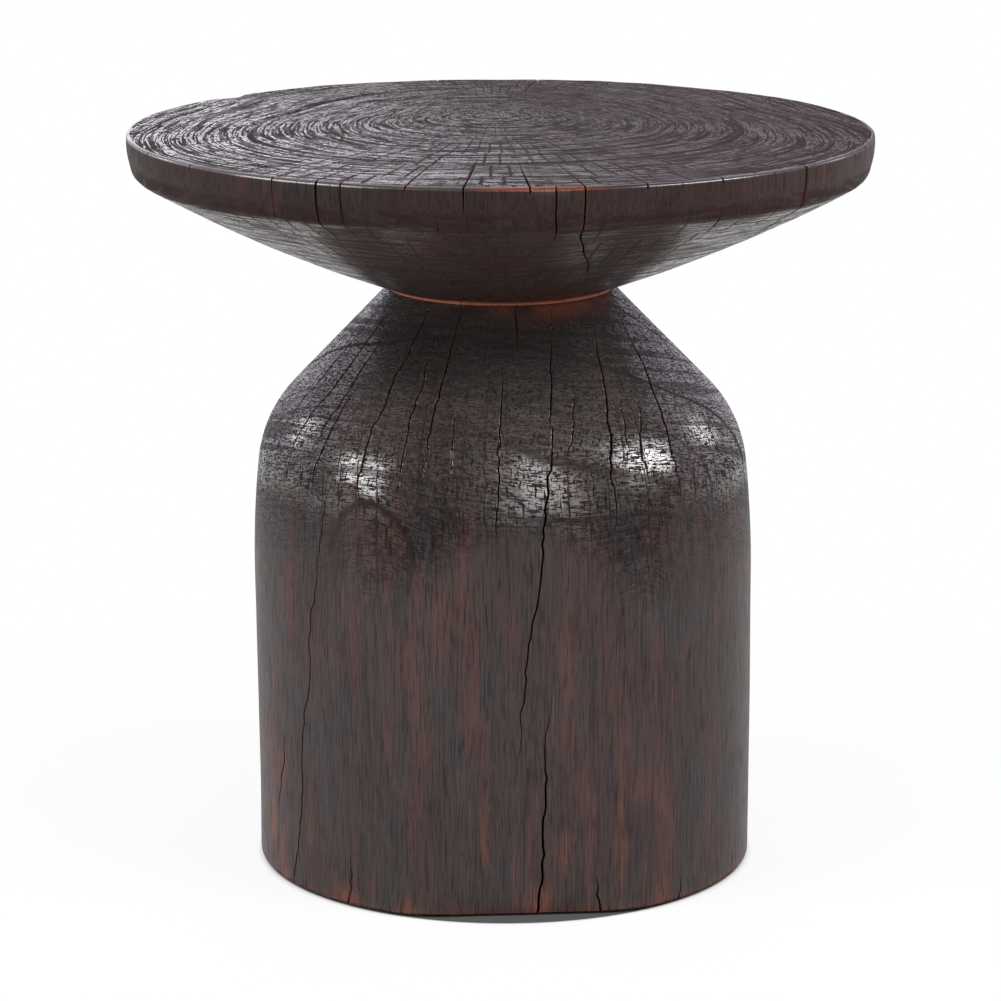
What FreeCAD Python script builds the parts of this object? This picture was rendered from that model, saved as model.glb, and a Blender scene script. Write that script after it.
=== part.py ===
"""Round side table in solid dark wood: a thick top, drawn down by a tie rod onto a bell-shaped base.

Millimetres, +Z up. The origin is on the floor, under the middle of the table, and -Y is the front.
"""

import FreeCAD
import Part

import math
import os

from FreeCAD import Vector

# Whole table
table_height = 502.0
top_diameter = 500.0
neck_diameter = 153.0
neck_round = 0.6

# Top: a flat disc whose underside runs down to a narrow upright land at the neck
top_depth = 106.0
neck_land = 1.6
rim_height = 26.5
rim_draft = 3.0
rim_upper_round = 3.0
rim_lower_round = 9.0
underside_bulge = 4.0

# Base: a turned bell with broad flats hewn on it
belly_diameter = 339.8
foot_draw = 1.1
foot_round = 2.0
shoulder_drop = 196.0
belly_curve_radius = 734.0
shoulder_curve_radius = 85.0
cone_lean = 44.0
flat_count = 2
flat_depth = 17.9
flat_turn = 4.5
flat_edge_round = 60.0

# Loose tenon and locating dowels across the neck
glue_gap = 0.1
tenon_diameter = 60.0
tenon_in_base = 52.0
tenon_in_top = 46.0
tenon_end_gap = 1.0
tenon_chamfer = 2.0
dowel_count = 2
dowel_diameter = 12.0
dowel_depth = 25.0
dowel_end_gap = 2.0
dowel_chamfer = 1.0

# Tie rod on the axis, the insert that it screws into, and the stack that pulls on it
rod_diameter = 12.0
rod_hole_gap = 1.0
rod_top_setback = 5.0
rod_tail = 4.0
rod_end_chamfer = 1.2
insert_wall = 3.0
insert_length = 25.0
insert_flange_width = 4.0
insert_flange_thickness = 2.0
insert_chip_space = 6.0
plate_washer_diameter = 40.0
plate_washer_thickness = 3.0
plate_washer_hole_gap = 0.5
spring_washer_width = 4.4
spring_washer_thickness = 2.5
spring_washer_hole_gap = 0.1
spring_washer_split = 1.5
nut_wall = 3.0
nut_thickness = 10.0
nut_corner_chamfer = 1.0
recess_side_gap = 3.0
recess_cover = 12.5

# Glides of pressed felt under the foot
glide_count = 4
glide_diameter = 36.0
glide_thickness = 2.0
glide_inset = 33.0
glide_turn_from_flat = 45.0

# Every cut runs this far past the face that it opens
overrun = 5.0

AXIS = Vector(0, 0, 1)
HEX_SIDES = 6
FULL_TURN = 360.0

# Radii that follow from the sizes above
top_radius = top_diameter / 2
rim_foot_radius = top_radius - rim_draft
neck_radius = neck_diameter / 2
belly_radius = belly_diameter / 2
foot_radius = belly_radius - foot_draw
flat_distance = belly_radius - flat_depth
tenon_radius = tenon_diameter / 2
socket_radius = tenon_radius + glue_gap
dowel_radius = dowel_diameter / 2
dowel_circle_radius = (socket_radius + neck_radius) / 2
rod_radius = rod_diameter / 2
rod_hole_radius = rod_radius + rod_hole_gap
insert_radius = rod_radius + insert_wall
recess_radius = plate_washer_diameter / 2 + recess_side_gap
glide_radius = glide_diameter / 2
glide_circle_radius = foot_radius - glide_inset - glide_radius

# Heights, from the floor up
foot_z = glide_thickness
rod_low_z = foot_z + recess_cover
nut_low_z = rod_low_z + rod_tail
spring_washer_low_z = nut_low_z + nut_thickness
plate_washer_low_z = spring_washer_low_z + spring_washer_thickness
recess_top_z = plate_washer_low_z + plate_washer_thickness
seam_z = table_height - top_depth
belly_z = seam_z - shoulder_drop
tenon_low_z = seam_z - tenon_in_base
dowel_low_z = seam_z - dowel_depth
dowel_hole_top_z = seam_z + dowel_depth
socket_top_z = seam_z + tenon_in_top
insert_low_z = socket_top_z - insert_flange_thickness
tenon_high_z = insert_low_z - tenon_end_gap
insert_high_z = socket_top_z + insert_length
rod_high_z = insert_high_z - rod_top_setback
rim_foot_z = table_height - rim_height


def at(radius, height):
    """A point of a turned outline, in the plane through the axis."""
    return Vector(radius, 0, height)


def on_circle(centre, radius, turn):
    """The point of an upright circle that lies at this turn from the level, in radians."""
    return centre + Vector(math.cos(turn), 0, math.sin(turn)) * radius


def line(start, end):
    return Part.LineSegment(start, end).toShape()


def arc(start, middle, end):
    return Part.Arc(start, middle, end).toShape()


def turned(edges):
    """The solid that a closed outline sweeps in one turn about the axis."""
    return Part.Face(Part.Wire(edges)).revolve(Vector(0, 0, 0), AXIS, FULL_TURN)


def cylinder(radius, low, high, place=Vector(0, 0, 0)):
    return Part.makeCylinder(radius, high - low, Vector(place.x, place.y, low), AXIS)


def tube(outer, inner, low, high):
    return cylinder(outer, low, high).cut(cylinder(inner, low - overrun, high + overrun))


def circles(shape, radius, height):
    """The full circles of that radius at that height."""
    found = []
    for edge in shape.Edges:
        if isinstance(edge.Curve, Part.Circle):
            same_radius = math.isclose(edge.Curve.Radius, radius, rel_tol=1e-6)
            same_height = math.isclose(edge.Curve.Center.z, height, rel_tol=1e-6, abs_tol=1e-6)
            if same_radius and same_height:
                found.append(edge)
    return found


def pin(radius, chamfer, low, high, place=Vector(0, 0, 0)):
    """A round bar with both ends chamfered."""
    bar = cylinder(radius, low, high, place)
    return bar.makeChamfer(chamfer, circles(bar, radius, low) + circles(bar, radius, high))


def ring_places(count, radius, first_turn):
    """Points spaced evenly round a circle about the axis, counted from the front."""
    turns = [math.radians(first_turn + FULL_TURN * i / count) for i in range(count)]
    return [Vector(math.sin(t), -math.cos(t), 0) * radius for t in turns]


# The dowels stand to the left and right of the tenon, in line with the flats
dowel_places = ring_places(dowel_count, dowel_circle_radius, flat_turn + FULL_TURN / (2 * dowel_count))
glide_places = ring_places(glide_count, glide_circle_radius, flat_turn + glide_turn_from_flat)


def dowel_holes():
    """One hole for each dowel, as deep in the top as in the base."""
    radius = dowel_radius + glue_gap
    return [cylinder(radius, dowel_low_z, dowel_hole_top_z, place) for place in dowel_places]


def make_tabletop():
    """Disc with a slightly drawn-in rim, and an underside that swells a little on its way to the neck."""
    neck = at(neck_radius, seam_z)
    land_top = at(neck_radius, seam_z + neck_land)
    rim_foot = at(rim_foot_radius, rim_foot_z)
    chord = rim_foot - land_top
    swell = Vector(chord.z, 0, -chord.x).normalize() * underside_bulge
    body = turned([
        line(at(0, seam_z), neck),
        line(neck, land_top),
        arc(land_top, land_top + chord / 2 + swell, rim_foot),
        line(rim_foot, at(top_radius, table_height)),
        line(at(top_radius, table_height), at(0, table_height)),
        line(at(0, table_height), at(0, seam_z)),
    ])
    body = body.makeFillet(rim_upper_round, circles(body, top_radius, table_height))
    body = body.makeFillet(rim_lower_round, circles(body, rim_foot_radius, rim_foot_z))
    body = body.makeFillet(neck_round, circles(body, neck_radius, seam_z))
    socket = cylinder(socket_radius, seam_z - overrun, socket_top_z)
    insert_hole = cylinder(insert_radius, seam_z, insert_high_z + insert_chip_space)
    return body.cut([socket, insert_hole] + dowel_holes())


def make_bell():
    """Foot, belly, shoulder and cone, turned in one, with every arc tangent to what follows it.

    The belly arc is upright where the base is widest. The shoulder arc leaves it at the turn from
    which the cone, leaning by cone_lean, comes out at the neck.
    """
    lean = math.radians(cone_lean)
    neck = at(neck_radius, seam_z)
    belly_centre = at(belly_radius - belly_curve_radius, belly_z)
    reach = belly_curve_radius - shoulder_curve_radius
    out_of_cone = Vector(math.cos(lean), 0, math.sin(lean))
    to_cone = (neck - belly_centre).dot(out_of_cone) - shoulder_curve_radius
    start = lean - math.acos(to_cone / reach)
    shoulder_centre = on_circle(belly_centre, reach, start)
    belly = at(belly_radius, belly_z)
    belly_middle = on_circle(belly_centre, belly_curve_radius, start / 2)
    shoulder_low = on_circle(belly_centre, belly_curve_radius, start)
    shoulder_middle = on_circle(shoulder_centre, shoulder_curve_radius, (start + lean) / 2)
    shoulder_high = on_circle(shoulder_centre, shoulder_curve_radius, lean)
    return turned([
        line(at(0, foot_z), at(foot_radius, foot_z)),
        line(at(foot_radius, foot_z), belly),
        arc(belly, belly_middle, shoulder_low),
        arc(shoulder_low, shoulder_middle, shoulder_high),
        line(shoulder_high, neck),
        line(neck, at(0, seam_z)),
        line(at(0, seam_z), at(0, foot_z)),
    ])


def hew_flats(bell):
    """Cuts the flats on the bell, and eases the edges that they leave all round but at the foot."""
    width = belly_diameter + 2 * overrun
    depth = flat_depth + overrun
    height = seam_z - foot_z + 2 * overrun
    corner = Vector(-width / 2, -flat_distance - depth, foot_z - overrun)
    for i in range(flat_count):
        slab = Part.makeBox(width, depth, height, corner)
        slab.rotate(Vector(0, 0, 0), AXIS, flat_turn + FULL_TURN * i / flat_count)
        bell = bell.cut(slab)
    edges = []
    for face in bell.Faces:
        if isinstance(face.Surface, Part.Plane) and math.isclose(face.Surface.Axis.z, 0, abs_tol=1e-6):
            edges += [e for e in face.Edges if not math.isclose(e.CenterOfMass.z, foot_z)]
    return bell.makeFillet(flat_edge_round, edges)


def make_pedestal():
    body = make_bell()
    body = body.makeFillet(neck_round, circles(body, neck_radius, seam_z))
    body = hew_flats(body)
    foot = [e for e in body.Edges if math.isclose(e.BoundBox.ZMax, foot_z, abs_tol=1e-6)]
    body = body.makeFillet(foot_round, foot)
    recess = cylinder(recess_radius, foot_z - overrun, recess_top_z)
    rod_hole = cylinder(rod_hole_radius, foot_z, seam_z)
    socket = cylinder(socket_radius, tenon_low_z, seam_z + overrun)
    return body.cut([recess, rod_hole, socket] + dowel_holes())


def make_neck_tenon():
    body = pin(tenon_radius, tenon_chamfer, tenon_low_z, tenon_high_z)
    return body.cut(cylinder(rod_hole_radius, tenon_low_z - overrun, tenon_high_z + overrun))


def make_locating_dowel(place):
    return pin(dowel_radius, dowel_chamfer, dowel_low_z, dowel_hole_top_z - dowel_end_gap, place)


def make_tie_rod():
    return pin(rod_radius, rod_end_chamfer, rod_low_z, rod_high_z)


def make_rod_insert():
    """Flanged sleeve, screwed up into the top until its flange meets the socket's ceiling."""
    sleeve = cylinder(insert_radius, insert_low_z, insert_high_z)
    flange = cylinder(insert_radius + insert_flange_width, insert_low_z, socket_top_z)
    bore = cylinder(rod_radius, insert_low_z - overrun, insert_high_z + overrun)
    return sleeve.fuse(flange).removeSplitter().cut(bore)


def make_plate_washer():
    inner = rod_radius + plate_washer_hole_gap
    return tube(plate_washer_diameter / 2, inner, plate_washer_low_z, recess_top_z)


def make_spring_washer():
    """Split ring that keeps the rod tight as the wood shrinks."""
    inner = rod_radius + spring_washer_hole_gap
    outer = inner + spring_washer_width
    ring = tube(outer, inner, spring_washer_low_z, plate_washer_low_z)
    height = spring_washer_thickness + 2 * overrun
    corner = Vector(0, -spring_washer_split / 2, spring_washer_low_z - overrun)
    return ring.cut(Part.makeBox(outer + overrun, spring_washer_split, height, corner))


def make_rod_nut():
    """Hexagon with its corners turned off at both ends."""
    corner_radius = (rod_radius + nut_wall) / math.cos(math.pi / HEX_SIDES)
    turns = [2 * math.pi * i / HEX_SIDES for i in range(HEX_SIDES + 1)]
    corners = [Vector(math.cos(t), math.sin(t), 0) * corner_radius + AXIS * nut_low_z for t in turns]
    prism = Part.Face(Part.makePolygon(corners)).extrude(AXIS * nut_thickness)
    blank = pin(corner_radius, nut_corner_chamfer, nut_low_z, spring_washer_low_z)
    bore = cylinder(rod_radius, nut_low_z - overrun, spring_washer_low_z + overrun)
    return prism.common(blank).cut(bore)


def make_felt_glide(place):
    return cylinder(glide_radius, 0, glide_thickness, place)


def make_nodes():
    """Every piece of the table, by name."""
    nodes = {
        "tabletop": make_tabletop(),
        "pedestal": make_pedestal(),
        "neck_tenon": make_neck_tenon(),
        "tie_rod": make_tie_rod(),
        "rod_insert": make_rod_insert(),
        "plate_washer": make_plate_washer(),
        "spring_washer": make_spring_washer(),
        "rod_nut": make_rod_nut(),
    }
    for number, place in enumerate(dowel_places, 1):
        nodes[f"locating_dowel_{number}"] = make_locating_dowel(place)
    for number, place in enumerate(glide_places, 1):
        nodes[f"felt_glide_{number}"] = make_felt_glide(place)
    return nodes


def main():
    os.makedirs("parts", exist_ok=True)
    for name, shape in make_nodes().items():
        shape.exportStep(f"parts/{name}.step")
        print(f"{name}: solids {len(shape.Solids)}, valid {shape.isValid()}, volume {shape.Volume:.0f} mm3")


main()
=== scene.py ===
"""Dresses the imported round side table: blackened wood, felt glides and hidden hardware.

Shapes are worked out in millimetres in the table's own frame and go into the meshes in metres. A turn is
counted in degrees from the front of the table, -Y, towards its right-hand side, +X.
"""

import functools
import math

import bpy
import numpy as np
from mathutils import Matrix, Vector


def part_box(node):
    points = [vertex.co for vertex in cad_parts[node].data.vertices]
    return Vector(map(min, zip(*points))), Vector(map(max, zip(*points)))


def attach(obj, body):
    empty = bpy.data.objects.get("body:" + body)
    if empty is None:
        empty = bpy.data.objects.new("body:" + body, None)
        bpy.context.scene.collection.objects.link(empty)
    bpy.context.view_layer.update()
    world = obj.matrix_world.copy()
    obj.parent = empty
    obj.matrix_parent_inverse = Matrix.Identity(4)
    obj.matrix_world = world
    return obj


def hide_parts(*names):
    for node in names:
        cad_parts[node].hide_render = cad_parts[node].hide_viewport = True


bl_info = {
    "name": "Round Side Table",
    "version": (1, 0, 0),
    "blender": (4, 5, 0),
    "location": "3D View > Sidebar > Side Table",
    "description": "Builds the wood, felt and metal of a round side table around its packed frame",
    "category": "Object",
}

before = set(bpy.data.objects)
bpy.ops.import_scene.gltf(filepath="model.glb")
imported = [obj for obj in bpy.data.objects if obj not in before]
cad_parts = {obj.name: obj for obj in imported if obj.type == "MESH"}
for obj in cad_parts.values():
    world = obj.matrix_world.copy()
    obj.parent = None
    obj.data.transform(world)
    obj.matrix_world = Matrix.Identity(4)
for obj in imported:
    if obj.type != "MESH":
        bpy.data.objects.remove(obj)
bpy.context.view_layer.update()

# Units
MM = 0.001
FULL_TURN = 360.0


def box_mm(node):
    """Lowest and highest corner of a node of the frame, in millimetres."""
    low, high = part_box(node)
    return np.array(low) / MM, np.array(high) / MM


# Sizes that the frame gives
top_low, top_high = box_mm("tabletop")
base_low, base_high = box_mm("pedestal")
tenon_low, tenon_high = box_mm("neck_tenon")
_, insert_high = box_mm("rod_insert")
washer_low, washer_high = box_mm("plate_washer")
TABLE_HEIGHT = top_high[2]
SEAM_Z = top_low[2]
FOOT_Z = base_low[2]
TENON_LOW_Z = tenon_low[2]
RECESS_TOP_Z = washer_high[2]
INSERT_HIGH_Z = insert_high[2]
TENON_RADIUS = (tenon_high[0] - tenon_low[0]) / 2
WASHER_RADIUS = (washer_high[0] - washer_low[0]) / 2
BELLY_RADIUS = (base_high[0] - base_low[0]) / 2

# Sizes of the top that its box doesn't show
TOP_RADIUS = 250.0
NECK_RADIUS = 76.5
NECK_LAND = 1.6
RIM_HEIGHT = 26.5
RIM_DRAFT = 3.0
RIM_BULGE = 0.8
ARRIS = 2.4
RIM_LOWER_ROUND = 6.0
UNDERSIDE_BULGE = 4.0
SOCKET_DEPTH = 46.0
INSERT_HOLE_RADIUS = 9.0
INSERT_CHIP_SPACE = 6.0
GLUE_GAP = 0.1

# Sizes of the base that its box doesn't show
SHOULDER_DROP = 196.0
BELLY_CURVE = 734.0
SHOULDER_CURVE = 85.0
CONE_LEAN = math.radians(44.0)
FOOT_DRAW = 1.1
FOOT_ARRIS = 2.0
ROD_HOLE_RADIUS = 7.0
RECESS_SIDE_GAP = 3.0

# The flats of the base: their depth, their turn, how broadly their edges are eased, which grows to the
# second width between two heights, and the least share of facing, which keeps them finite at the sides
FLAT_DEPTH = 17.9
FLAT_TURN = 4.5
FLAT_EASE = 8.0
FLAT_TOP_EASE = 56.0
FLAT_EASE_Z = (215.0, 340.0)
LEAST_FACING = 0.3

# The glides: the share of the radius at the upper edge, the bulge and the lower edge of the side, the wave
# of the frayed edge, how sharply it keeps to the edge, how much of it goes up, and the size of the grid
GLIDE_SIDE = (0.96, 1.03, 0.97)
GLIDE_FRAY = ((0.25, 1.1, 31),)
FRAY_POWER = 6
FRAY_LIFT = 0.4
GLIDE_COLUMNS = 96
GLIDE_ROWS = (10, 9, 10)

# Grids: the step between columns and where it is measured, how far down the rows of the base lie close, and
# where its grain bends from the cone to the side
BASE_COLUMN_STEP = 6.0
BASE_COLUMN_RADIUS = 150.0
TOP_COLUMN_STEP = 9.0
CLOSE_ROWS_DROP = 124.0
GRAIN_BEND_DROP = 96.0

# Rows of the base: close ones and wider ones down the side, round the edge of the foot, then from corner to
# corner on to the seam. Rows of the top: face, edge, rim, lower round and underside, then on to the bore.
# The last of its first rows, which meet in the middle of the face and have no relief of rings
CLOSE_ROWS = 112
SIDE_ROWS = 56
EDGE_ROWS = 5
BASE_INNER_ROWS = (16, 5, 4, 10, 4, 6, 8)
FACE_ROWS = 156
RIM_ROWS = 12
ROUND_ROWS = 6
UNDER_ROWS = 62
TOP_INNER_ROWS = (3, 6, 5, 4, 4, 3)
LAST_PLAIN_ROW = 2

# Where the pith of each log runs: across and back from the axis, at its upper and its lower end. Then the
# circle on which the way round the pith is kept, how much faster the top's log grew to the front, and
# between which shares of the circle that comes in
TOP_PITH = ((-4.0, 66.0), (2.0, 40.0))
BASE_PITH = ((22.0, 72.0), (40.0, 54.0))
TOP_CIRCLE = 200.0
BASE_CIRCLE = 110.0
FRONT_GROWTH = 0.6
FRONT_SPREAD = (-0.3, 1.0)

# Waves, each with its height and its size in millimetres and the seed of its noise
RING_WOBBLE = ((4.0, 70.0, 11), (0.9, 23.0, 12))
BASE_WAVES = ((0.5, 60.0, 3), (0.06, 22.0, 4))
TOP_WAVES = ((0.45, 70.0, 22), (0.18, 18.0, 23))

# Rings come closer and wider by turns: by how many rings, over what length, and how far on that begins
RING_SWELL = ((0.55, 15.0, 0.0), (0.35, 6.1, 1.0))

# The wave that is brushed out of each ring: its level hollow, then its height and how far that differs
RING_HOLLOW = -0.5
RING_HEIGHT = (0.65, 0.45)

LINE_WANDER = ((0.45, 4, 38.0, 51), (0.35, 5, 14.0, 52), (0.2, 5, 6.0, 56))
LINES_APART = 90.0

CHECK_TURNED = 0.55
CHECK_TURN_POWER = 1.5
TOP_WANDER = ((0.3, 17.0), (0.15, 5.0))
WANDER_WAYS = (190.0, 40.0, 70.0)

# How far noise is squeezed that runs down the grain
RING_SQUEEZE = np.array([1.0, 1.0, 0.35])
FIBRE_SQUEEZE = np.array([1.0, 1.0, 0.3])

# Checks of the base, from left to right across the front. Each follows the grain: its turn at the neck, at
# the shoulder and at the foot, then the heights between which the wood has opened and half its widest gap
BASE_CHECKS = (
    (-84, -80, -82, ((380, 300, 0.8),)),
    (-70, -69, -74, ((390, 305, 0.8),)),
    (-59, -59, -75, ((393, 300, 0.9),)),
    (-51, -51, -70, ((378, 306, 0.8),)),
    (-44, -48, -67, ((345, 278, 0.8), (106, 48, 0.8))),
    (-40, -42, -57, ((305, 0, 0.7),)),
    (-37, -34, -38, ((391, 279, 0.8), (37, 0, 0.7))),
    (-27, -25, -27, ((379, 291, 0.7),)),
    (-19, -19, -19, ((392, 297, 0.8),)),
    (-12, -13, -14, ((339, 299, 0.6),)),
    (3, -1, -8, ((362, 255, 0.7),)),
    (7, 5, -4, ((395, 371, 0.5),)),
    (25, 12, -1, ((394, 112, 0.8),)),
    (29, 15, 8, ((140, 0, 1.0),)),
    (36, 18, 16, ((351, 300, 0.6),)),
    (42, 23, 23, ((26, 0, 0.8),)),
    (47, 28, 29, ((382, 265, 0.9),)),
    (55, 33, 35, ((342, 311, 0.6),)),
    (61, 37, 39, ((337, 291, 0.7),)),
    (70, 45, 43, ((386, 272, 0.9), (17, 0, 0.7))),
    (80, 62, 62, ((326, 284, 0.6),)),
    (88, 76, 76, ((392, 322, 0.6),)),
)

# Checks of the top: the turn at the rim, how far the grain has turned on by the neck, the shares that are
# split of the way to the pith on the face, of the way down the rim and of the underside, half the widest gap
TOP_CHECKS = (
    (-66, 2, 0.10, 0.0, 0.00, 0.6),
    (-52, 0, 0.25, 0.0, 0.00, 0.6),
    (-35, 0, 0.12, 0.9, 0.00, 0.6),
    (-27, -3, 0.22, 1.0, 0.35, 0.8),
    (-23, 0, 0.35, 0.9, 0.00, 0.6),
    (-14, 0, 0.40, 0.0, 0.00, 0.7),
    (-9, 0, 0.00, 0.0, 0.10, 0.6),
    (-5, 0, 0.36, 0.5, 0.00, 0.7),
    (4, 0, 0.30, 0.0, 0.00, 0.7),
    (8, 2, 0.00, 0.4, 0.15, 0.6),
    (12, 9, 0.28, 0.6, 0.75, 0.7),
    (21, 6, 0.18, 0.0, 0.00, 0.6),
    (34, 6, 0.10, 0.0, 0.20, 0.7),
    (51, 14, 0.07, 1.0, 0.55, 1.3),
    (72, 6, 0.16, 0.0, 0.00, 0.6),
)

# Checks round the back, whose run is a guess: how far they stand from an even spacing, then the least and
# greatest value of each draw. Those of the base may open again at the foot, and those of the top in the rim
BACK_CHECK_COUNT = 12
BACK_SEED = 7
BACK_WANDER = (-4.0, 4.0)
BACK_HIGH = (340, 392)
BACK_LENGTH = (40, 110)
BACK_GAP = (0.6, 1.1)
BACK_FOOT_CHANCE = 0.4
BACK_FOOT_HIGH = (60, 200)
BACK_FOOT_GAP = (0.7, 1.1)
BACK_SHOULDER_TURN = (-3, 3)
BACK_FOOT_TURN = (-6, 6)
BACK_NECK_TURN = (-4, 4)
BACK_FACE_SPLIT = (0.1, 0.35)
BACK_RIM_SHUT = 0.4
BACK_UNDER_SPLIT = (0.0, 0.3)
BACK_TOP_GAP = (0.6, 0.9)

# A check is a wedge with a lip and a strip of plain wood on either side, each with a column of its own. They
# draw together inside the least radius. Where half its gap is the full one, it is as deep as the setting
# says, and no check is deeper than a share of that. One that is open below the top rises into the lower part
# of the rim. Faces stay crisp where a corner is deeper than the crisp depth
SHUT_GAP = 0.25
CHECK_LIP = 0.3
CHECK_STRIP = 0.8
FULL_GAP = 0.8
LEAST_RADIUS = 70.0
COLUMNS_PER_CHECK = 7
MIDDLE_COLUMN = 3
LIP_COLUMNS = (2, 4)
DEEPEST_SHARE = 1.2
UNDER_RISE = (0.6, 1.0)
CRISP_DEPTH = 0.3

# A split along one ring at the left of the top's face: its way out from the pith, its width and depth, then
# its turn about the pith, how far to either side it runs out, and how far it is whole
SHAKE_OUT = 136.0
SHAKE_WIDTH = 2.0
SHAKE_DEPTH = 1.4
SHAKE_TURN = -92.0
SHAKE_FADE = (62.0, 20.0)

# Figure where the grain of the base swells out: turn, height and how far it swells, then its reach round and
# up, and how much it looks like end grain
BASE_FIGURE = ((34.0, 238.0, 16.0), (-30.0, 246.0, 10.0))
FIGURE_REACH = (10.0, 30.0)
FIGURE_END_GRAIN = 0.11

# Rings and grain of the base: how far the rings are brushed out, and how much the way down and the way out
# count across the grain
BASE_RELIEF = 0.2
BASE_RING_SEED = 41
GRAIN_WAYS = (0.7, 0.6)

# Heights of the base between which its surface changes, with the waves that make them uneven, how much of it
# fades again, and its least level and what is added to that. Where the weathering fades toward the neck, the
# base is darker: painted shade under the top
WEATHER_RISE = (262.0, 282.0)
NECK_SHADE_FADE = (318.0, 378.0)
WAX_RISE = (256.0, 284.0)
WAX_FADE = (330.0, 390.0)
WEATHER_RISE_WAVE = ((8.0, 40.0, 6),)
NECK_SHADE_WAVE = ((10.0, 40.0, 7),)
NECK_SHADE_LOSS = 0.8
WAX_LOSS = 0.25
LEAST_WAX = 0.2
SCORCH_RISE = (245.0, 285.0)
SCORCH_FULL = (285.0, 345.0)
SCORCH_RISE_WAVE = ((14.0, 35.0, 9),)
SCORCH_FULL_WAVE = ((18.0, 30.0, 8),)
SCORCH_LEVELS = (0.3, 0.7)
BARE_FADE = (270.0, 200.0)
BARE_REACH = 60.0

# Where the base is rubbed, and how strongly: a smear at a turn below the seam, with its reach round and
# down, the foot, the lips of checks, and bare streaks. Patches have a size, a seed and two levels
SMEAR_TURN = 25.0
SMEAR_REACH = (40.0, 7.0)
SMEAR_PATCHES = (15.0, 5, -0.9, 0.5)
SMEAR_RUB = 0.5
FOOT_RUB_REACH = 2.5
FOOT_RUB = 0.2
BASE_LIP_PATCHES = (24.0, 53, -0.3, 0.3)
BASE_LIP_RUB = 0.22
BARE_PATCHES = (13.0, 55, 0.3, 0.8)
BARE_RUB = (0.08, 0.4)

# Turn and reach of what differs round the top's edge: a worn and a polished stretch of the arris, a less
# charred stretch of the rim, and a chip
WORN = (6.0, 19.0)
POLISHED = (38.0, 20.0)
LESS_CHARRED = (58.0, 36.0)
CHIP = (230.0, 2.2)
CHIP_REACH = 6.0
CHIP_DEPTH = 3.0

# The left of the top's face has weathered, and its lighter ash there is partly painted sheen: where that
# begins and is full, across the face, how far that runs aslant, and its wave
FACE_WEATHER_AND_SHEEN = (-120.0, 190.0)
WEATHER_SLANT = 0.25
FACE_WAVE = ((45.0, 60.0, 24),)

# Rings and grain of the top: how far the rings are brushed out and how much more where it has weathered,
# the tilt at which end grain comes in, how much of it shows below, and how deep checks are on the face
TOP_RELIEF = (0.25, 0.25)
TOP_RING_SEED = 42
END_GRAIN_TILT = (0.15, 0.6)
UNDER_END_GRAIN = 0.1
FACE_CHECK_SHARE = 0.7

# Wax, scorching and rubbing of the top, each with its least level and what is added to that, or its strength
FACE_WAX = (0.09, 0.63)
FACE_WAX_POWER = 1.5
EDGE_WAX = (0.2, 0.6)
UNDER_WAX = (0.08, 0.92)
UNDER_WAX_TILT = (0.6, 0.95)
# More of the face is scorched to the left, where its ash is partly painted sheen
FACE_SCORCH = (0.35, 0.5)
RIM_SCORCH = (0.8, 0.2)
RIM_SCORCH_SIZE = 12.0
RIM_SCORCH_SEED = 26
RIM_SCORCH_LOSS = 0.45
WORN_SIZE = 30.0
WORN_SEED = 25
WORN_LEVELS = (-0.9, 0.2)
WORN_RUB = 0.8
TOP_LIP_PATCHES = (24.0, 54, -0.3, 0.3)
TOP_LIP_RUB = 0.35
UNDER_RUB = 0.04
FACE_RUB = 0.06
# How dark the split along a ring is painted inside: painted shade in its groove
SHAKE_SHADE = 0.4


def linear(code):
    """Linear colour of an sRGB hex value, with full alpha."""
    shares = [int(code[i:i + 2], 16) / 255 for i in (1, 3, 5)]
    return tuple(s / 12.92 if s <= 0.04045 else ((s + 0.055) / 1.055) ** 2.4 for s in shares) + (1.0,)


# Shapes

# Odd factors that scatter the corners of the noise's lattice
CORNER_FACTORS = np.array([73856093, 19349663, 83492791])
SEED_FACTOR = 2654435761
MIX_FACTOR = 1274126177


def noise(points, size, seed):
    """Smooth noise from -1 to 1: random values at the corners of a lattice, eased between them."""
    cell = np.asarray(points) / size
    low = np.floor(cell).astype(np.int64)
    part = cell - low
    part = part * part * (3 - 2 * part)
    total = np.zeros(cell.shape[:-1])
    for corner in np.ndindex(2, 2, 2):
        key = (low + np.array(corner)) * CORNER_FACTORS
        mixed = key[..., 0] ^ key[..., 1] ^ key[..., 2] ^ (seed * SEED_FACTOR)
        mixed = ((mixed ^ (mixed >> 13)) * MIX_FACTOR) & 0x7FFFFFFF
        mixed = ((mixed ^ (mixed >> 16)) & 0xFFFF) / 0x7FFF - 1.0
        total += mixed * np.prod(np.where(np.array(corner) == 1, part, 1 - part), axis=-1)
    return total


def waved(value, points, waves):
    """The value with a noise added for each of the waves."""
    for height, size, seed in waves:
        value = value + height * noise(points, size, seed)
    return value


def ease(value, low, high):
    """A smooth step from 0 at low to 1 at high, and level beyond them. High may be the lesser."""
    share = np.clip((value - low) / (high - low), 0.0, 1.0)
    return share * share * (3 - 2 * share)


def hump(value, middle, reach):
    """1 in the middle, falling off to either side like a bell."""
    return np.exp(-((value - middle) / reach) ** 2)


def raised(levels, share):
    """The first level, raised by that share of the second."""
    return levels[0] + levels[1] * share


def patches(points, size, seed, low, high):
    """Noise as soft patches: 0 where it is below the low level and 1 where it is above the high one."""
    return ease(noise(points, size, seed), low, high)


def taper(way, reach):
    """1 at the start of a way, falling ever faster to 0 at its reach."""
    return np.clip(1 - way / np.maximum(reach, 1e-6), 0.0, 1.0) ** 0.5


def smooth_least(first, second, width):
    """The lesser of two lengths, rounded over where they cross within that width."""
    share = np.clip(0.5 + 0.5 * (second - first) / width, 0.0, 1.0)
    return second * (1 - share) + first * share - width * share * (1 - share)


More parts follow.
